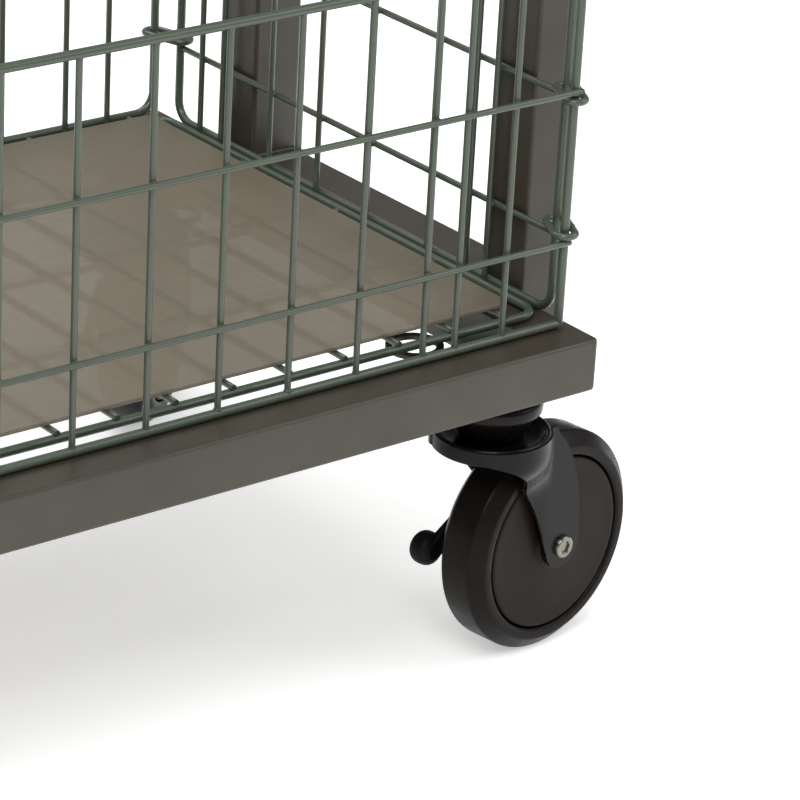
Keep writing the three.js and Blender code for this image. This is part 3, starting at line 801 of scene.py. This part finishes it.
def floorGrid():   # its front-to-back wires lie on the border rods
    half = halfLength - grid["inset"]
    front, back = grid["front"] - halfDepth, grid["back"] - halfDepth
    rodLevel = railTop + wires["lift"] + wires["rod"] / 2
    work = Wirework(lambda u, v, w: (u, v, rodLevel + w))
    work.run([(-half, front, 0), (half, front, 0), (half, back, 0), (-half, back, 0)], True, True)
    over = wires["wire"] - wires["sink"]
    gap = (back - front + wires["rod"]) / (grid["cross"] + 1)
    levels = [front - wires["rod"] / 2 + (i + 1) * gap for i in range(grid["cross"])]
    for u in mirrored([(i + 0.5) * grid["pitch"] for i in range(grid["count"])]):
        work.run([(u, back + wires["overhang"], over), (u, front - grid["overFront"], over)])
        for v in levels + [back, front]:
            work.spot(u, v, over / 2)
    for v in levels:
        work.run([(-half, v, 0), (half, v, 0)])
    return work.grow("floor_grid_wires", wires["seed"] + 9, nugget=grid["nugget"])


finishPiece(backPanel(), "frame", "green_coat", "back_panel")
for side in sides:
    finishPiece(sidePanel(side), "frame", "green_coat", f"side_panel_{side}")
finishPiece(frontGate(), "gate", "green_coat", "front_gate")
finishPiece(floorGrid(), "frame", "green_coat", "floor_grid")
print("stage: wire panels")


# wire links round pairs of rods
links = {"wire": 4.0, "clearance": 1.24, "cornerHeights": [52, 452, 800], "gateHeights": [54, 128.5],
         "steps": 10,
         "nugget": 4.6, "cornerSeed": 3, "gateSeed": 5}


def linkPath(work, start, end, height):
    turn = math.degrees(math.atan2(end[1] - start[1], end[0] - start[0]))
    radius = wires["rod"] / 2 + links["clearance"] + links["wire"] / 2
    path = arc(end, radius, turn - 90, turn + 90, links["steps"])
    path += arc(start, radius, turn + 90, turn + 270, links["steps"])
    work.run([(p[0], p[1], height) for p in path], True, True)
    seam = [(a + b) / 2 for a, b in zip(path[links["steps"]], path[links["steps"] + 1])]
    work.spot(seam[0], seam[1], height)


def cornerLinks(side):
    sx = sides[side]
    sideRod = (sx * (halfLength - panels["sideInset"]), panels["sideRods"][1] - halfDepth)
    backRod = (sx * (halfLength - panels["backInset"]), halfDepth - panels["backSetback"])
    work = Wirework(lambda x, y, z: (x, y, z))
    for height in links["cornerHeights"]:
        linkPath(work, sideRod, backRod, railTop + height)
    return work.grow(f"corner_links_{side}", links["cornerSeed"], 0.0, links["nugget"], links["wire"])


def gateLinks():
    panelRod = (halfLength - panels["sideInset"], panels["sideRods"][0] - halfDepth)
    gateRod = (halfLength - gate["inset"], gate["setback"] - halfDepth)
    work = Wirework(lambda x, y, z: (x, y, z))
    for height in links["gateHeights"]:
        linkPath(work, panelRod, gateRod, railTop + height)
    return work.grow("gate_links", links["gateSeed"], 0.0, links["nugget"], links["wire"])


for side in sides:
    names = [f"corner_ring_{side}_{level}" for level in ("low", "middle", "high")]
    finishPiece(cornerLinks(side), "frame", "green_coat", *names)
finishPiece(gateLinks(), "gate", "green_coat", "gate_ring_lower", "gate_ring_upper")
print("stage: links")


# smoked floor sheet
sheetPiece = {"corner": 7.0, "edge": 0.5}


def floorSheet():
    low, high = [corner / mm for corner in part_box("floor_sheet")]
    outline = softened(rectangle(low.x, low.y, high.x, high.y), sheetPiece["corner"], 6)
    return platePiece("floor_sheet_plastic", [outline], low.z, high.z, sheetPiece["edge"], smoked)


finishPiece(floorSheet(), "floor_sheet", "clear_sheet", "floor_sheet")


# gate latch: the shape cut in the frame, with eased edges
def easedCopy(node, name, width, segments, material):
    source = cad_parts[node]
    obj = bpy.data.objects.new(name, source.data.copy())
    bpy.context.scene.collection.objects.link(obj)
    obj.data.materials.clear()
    obj.data.materials.append(material)
    build = bmesh.new()
    build.from_mesh(obj.data)
    bmesh.ops.remove_doubles(build, verts=build.verts, dist=0.01 * mm)
    bmesh.ops.dissolve_limit(build, angle_limit=math.radians(1), verts=build.verts, edges=build.edges)
    build.to_mesh(obj.data)
    build.free()
    return bevelled(obj, width, segments)


finishPiece(easedCopy("gate_latch", "gate_latch_forged", 0.7, 3, enamel), "latch", "black_paint",
            "gate_latch")
print("stage: sheet and latch")


# casters, drawn with the swivel axis on Z and the wheel trailing to +X
caster = {"insetX": 40, "insetY": 36, "trail": 41.0, "axle": 63.5}
headings = {"front_right": 8, "back_left": 188, "back_right": 42, "front_left": 222}
crown = {"radius": 32.5, "hole": 6.6, "bottom": 131.0, "dish": 135.0, "lip": 139.5, "skirt": 130.0}
leg = {"outside": 21.0, "thickness": 2.6, "crease": 26.0, "drawIn": 0.06, "top": 138.0, "blendFrom": 100.0,
       "blendTo": 128.0, "foot": 13.0, "front": (-28, 131), "arch": (0, 125), "shoulder": (13.8, 96),
       "waist": (24, 80), "rear": (31, 135), "rearBulge": (54, 114), "columns": 60, "levels": 22}
tyreShape = {"inner": 50.3, "radius": 63.5, "half": 16.0, "edge": 14.4, "tread": 9.4, "shoulder": 56.2}
hubShape = {"bore": 5.3, "boss": 13.0, "bossFace": 17.0, "face": 15.6, "radius": 49.4, "edge": 14.4}
nut = {"radius": 6.3, "height": 2.5, "socket": 3.8, "depth": 1.9}
lever = {"pivot": (26, 84), "nose": (-14.3, 61.3), "near": 21.6, "thickness": 5.0, "pivotRadius": 7.0,
         "endRadius": 6.0, "noseRadius": 9.5, "noseWidth": 14.0, "edge": 1.4}
swivel = {"top": 164.7, "flange": 20.0, "race": 27.0, "stem": 4.5, "stemTop": 177.0, "pin": 5.6,
          "pinHead": 9.5, "clearance": 0.7, "headDrop": 3.3, "headGap": 0.9}


def smoothStep(value, low, high):
    t = min(max((value - low) / (high - low), 0), 1)
    return t * t * (3 - 2 * t)


def legFace(x, z):   # how far the leg's outer face stands from the middle
    flat = leg["outside"] - leg["drawIn"] * max(leg["crease"] - x, 0)
    if x >= leg["crease"]:
        return flat
    rim = math.sqrt(max((crown["radius"] + 0.9) ** 2 - x * x, 1))
    return flat + (rim - flat) * smoothStep(z, leg["blendFrom"], leg["blendTo"])


def legOutline():   # the leg's free edge: front arch, round foot, rear edge
    x, z = caster["trail"], caster["axle"]
    foot = leg["foot"]
    path = curved(leg["front"], leg["arch"], leg["shoulder"], 12)
    path += curved(leg["shoulder"], leg["waist"], (x - foot, z), 8)[1:]
    path += arc((x, z), foot, 180, 360, 14)[1:]
    path += curved((x + foot, z), leg["rearBulge"], leg["rear"], 12)[1:]
    return path


def resampled(path, count):   # evenly spaced points along a path
    lengths = [0.0]
    for a, b in zip(path, path[1:]):
        lengths.append(lengths[-1] + math.dist(a, b))
    result = []
    k = 0
    for i in range(count + 1):
        target = lengths[-1] * i / count
        while k < len(path) - 2 and lengths[k + 1] < target:
            k += 1
        share = (target - lengths[k]) / (lengths[k + 1] - lengths[k])
        result.append(tuple(a + (b - a) * share for a, b in zip(path[k], path[k + 1])))
    return result


def forkLeg(sy):
    lower = resampled(legOutline(), leg["columns"])
    points = []
    for inside in (0, leg["thickness"]):
        for i, (bx, bz) in enumerate(lower):
            share = i / leg["columns"]
            tx = leg["front"][0] + (leg["rear"][0] - leg["front"][0]) * share
            for j in range(leg["levels"] + 1):
                t = j / leg["levels"]
                x, z = tx + (bx - tx) * t, leg["top"] + (bz - leg["top"]) * t
                points.append((x, sy * (legFace(x, z) - inside), z))
    rowLength = leg["levels"] + 1
    size = (leg["columns"] + 1) * rowLength
    outer = gridFaces(leg["columns"] + 1, rowLength, False, False)
    faces = outer + [tuple(v + size for v in reversed(f)) for f in outer]
    rim = ([(0, j) for j in range(rowLength)] + [(i, rowLength - 1) for i in range(1, leg["columns"] + 1)]
           + [(leg["columns"], j) for j in range(rowLength - 2, -1, -1)]
           + [(i, 0) for i in range(leg["columns"] - 1, 0, -1)])
    loop = [i * rowLength + j for i, j in rim]
    for a, b in zip(loop, loop[1:] + loop[:1]):
        faces.append((a, b, b + size, a + size))
    return tidyMesh(meshObject("leg", points, faces, enamel), 50)


def forkPiece():
    r, hole, dish, lip = crown["radius"], crown["hole"], crown["dish"], crown["lip"]
    skirt = crown["skirt"] - 0.5
    profile = [(hole, crown["bottom"]), (26, crown["bottom"]), (29.6, skirt), (r, skirt), (r, lip - 1.6),
               (r - 1.2, lip), (r - 2.6, lip - 0.5), (r - 5.5, dish + 1.2), (20, dish), (hole, dish)]
    pan = lathe("pan", softened(profile, 1.6, 4), enamel, 72)
    return joined("fork", [pan, forkLeg(-1), forkLeg(1)])


def wheelTurn():   # turned about Z, then laid on the axle
    centre = Matrix.Translation((caster["trail"] * mm, 0, caster["axle"] * mm))
    return centre @ Matrix.Rotation(math.pi / 2, 4, "X")


def bothFaces(profile):
    return profile + [(r, -h) for r, h in reversed(profile)]


def hubPiece():
    r, face, boss = hubShape["radius"], hubShape["face"], hubShape["boss"]
    profile = [(hubShape["bore"], hubShape["bossFace"]), (boss, hubShape["bossFace"]), (boss + 2, face),
               (42, face - 0.4), (r - 0.8, face - 0.2), (r, hubShape["edge"])]
    obj = lathe("hub", softened(bothFaces(profile), 1.3, 4), wheelPlastic, 96)
    obj.data.transform(wheelTurn())
    return obj


def tyrePiece():
    r, w = tyreShape["radius"], tyreShape["half"]
    inner = tyreShape["inner"]
    profile = [(inner, tyreShape["edge"]), (inner + 0.7, w - 0.4), (inner + 2.2, w),
               (tyreShape["shoulder"], w), (r, tyreShape["tread"])]
    obj = lathe("tyre", softened(bothFaces(profile), 1.1, 4), rubber, 120)
    obj.data.transform(wheelTurn())
    return obj


def socketHead(end):   # round nut with a hexagon socket
    seat = leg["outside"] + 0.1
    top = seat + nut["height"]
    segments = 48
    layers = [(0.2, seat, False), (nut["radius"], seat, False), (nut["radius"], top - 0.9, False),
              (nut["radius"] - 0.3, top - 0.3, False), (nut["radius"] - 0.9, top, False),
              (nut["socket"] + 0.7, top, False), (nut["socket"], top - 0.5, True),
              (nut["socket"], top - nut["depth"], True), (0.2, top - nut["depth"] - 0.4, False)]
    points = []
    for i in range(segments):
        turn = 2 * math.pi * i / segments
        flat = math.cos(math.pi / 6) / math.cos((turn % (math.pi / 3)) - math.pi / 6)
        for r, h, hexagon in layers:
            reach = r * (flat if hexagon else 1)
            points.append((reach * math.cos(turn), reach * math.sin(turn), end * h))
    faces = gridFaces(segments, len(layers), True, True)
    return tidyMesh(meshObject("head", points, faces, zinc))


def axlePiece():
    reach = leg["outside"] + 1
    shank = lathe("shank", [(0.2, -reach), (4.5, -reach), (4.5, reach), (0.2, reach)], zinc, 32)
    obj = joined("axle", [shank, socketHead(-1), socketHead(1)])
    obj.data.transform(wheelTurn())
    return obj


def alongY(obj, x, z, y):   # a piece drawn on Z, laid along Y
    obj.data.transform(Matrix.Translation((x * mm, y * mm, z * mm)) @ Matrix.Rotation(math.pi / 2, 4, "X"))
    return obj


def leverPiece():   # moulded arm outside the far leg, with a thick rounded nose
    (px, pz), (nx, nz) = lever["pivot"], lever["nose"]
    turn = math.degrees(math.atan2(nz - pz, nx - px))
    outline = arc((px, pz), lever["pivotRadius"], turn + 90, turn + 270, 14)
    outline += arc((nx, nz), lever["endRadius"], turn - 90, turn + 90, 14)
    arm = platePiece("arm", [outline], 0, lever["thickness"], lever["edge"], capPlastic)
    arm = alongY(arm, 0, 0, lever["near"] + lever["thickness"])
    n, r = lever["noseWidth"] / 2, lever["noseRadius"]
    dome = [(0.1, -n), (r * 0.5, -n), (r * 0.86, -n + 1.8), (r, -n + 4.5),
            (r, n - 4.5), (r * 0.86, n - 1.8), (r * 0.5, n), (0.1, n)]
    nose = alongY(lathe("nose", softened(dome, 1.6, 3), capPlastic, 40), nx, nz, lever["near"] + n)
    stub = softened([(0.1, -4), (3, -4), (3, 4), (0.1, 4)], 0.6, 3)
    pin = alongY(lathe("pin", stub, zinc, 24), px, pz, lever["near"] - 0.5)
    return joined("lever", [arm, nose, pin])


def rod(name, radius, bottom, top, segments, soft=0.0):   # zinc-plated turned piece on Z
    profile = [(0.1, bottom), (radius, bottom), (radius, top), (0.1, top)]
    return lathe(name, softened(profile, soft, 3) if soft else profile, zinc, segments)


def swivelPiece():   # ball race under the rails with its stem above and the king pin's head below the crown
    bottom = crown["dish"] + swivel["clearance"]
    top = swivel["top"]
    wide = swivel["race"]
    shell = [(0.1, bottom), (17.5, bottom), (20.5, bottom + 8), (wide, bottom + 16), (wide, bottom + 22),
             (swivel["flange"], top), (0.1, top)]
    race = lathe("race", softened(shell, 2.2, 5), enamel, 64)
    under = crown["bottom"] - swivel["headDrop"]
    stem = rod("stem", swivel["stem"], top - 2, swivel["stemTop"], 28)
    pin = rod("pin", swivel["pin"], under, bottom + 1, 28)
    head = rod("head", swivel["pinHead"], under, crown["bottom"] - swivel["headGap"], 36, 0.8)
    return joined("swivel", [race, stem, pin, head])


def placeCasters():
    head, fork, axle, hub, tyre, brake = sources = (
        swivelPiece(), forkPiece(), axlePiece(), hubPiece(), tyrePiece(), leverPiece())
    for row in rows:
        for side in sides:
            x = sides[side] * (halfLength - caster["insetX"]) * mm
            y = rows[row] * (halfDepth - caster["insetY"]) * mm
            stand = Matrix.Translation((x, y, 0))
            swung = stand @ Matrix.Rotation(math.radians(headings[f"{row}_{side}"]), 4, "Z")
            name = f"caster_{row}_{side}"
            for source, place, piece, body, slot, node in (
                    (head, stand, "race", "frame", "black_paint", "swivel_head"),
                    (fork, swung, "pressed_fork", name, "black_paint", "fork"),
                    (axle, swung, "axle", name, "zinc", "axle_bolt"),
                    (hub, swung, "disc", name + "_wheel", "wheel_plastic", "wheel_hub"),
                    (tyre, swung, "tread", name + "_wheel", "tyre_rubber", "tyre"),
                    (brake, swung, "lever", name + "_brake", "black_plastic", "brake_lever")):
                finishPiece(copyAt(source, f"{name}_{piece}", place), body, slot, f"{name}_{node}")
    for source in sources:
        bpy.data.objects.remove(source)


placeCasters()
print("stage: casters")


# floor
def layFloor():
    reach = 6000
    corners = [(x, y, 0) for x, y in rectangle(-reach, -reach, reach, reach)]
    meshObject("studio_floor", corners, [(0, 1, 2, 3)], paleFloor())


layFloor()
setLights()
setCamera()
print("stage: floor, lights and camera")
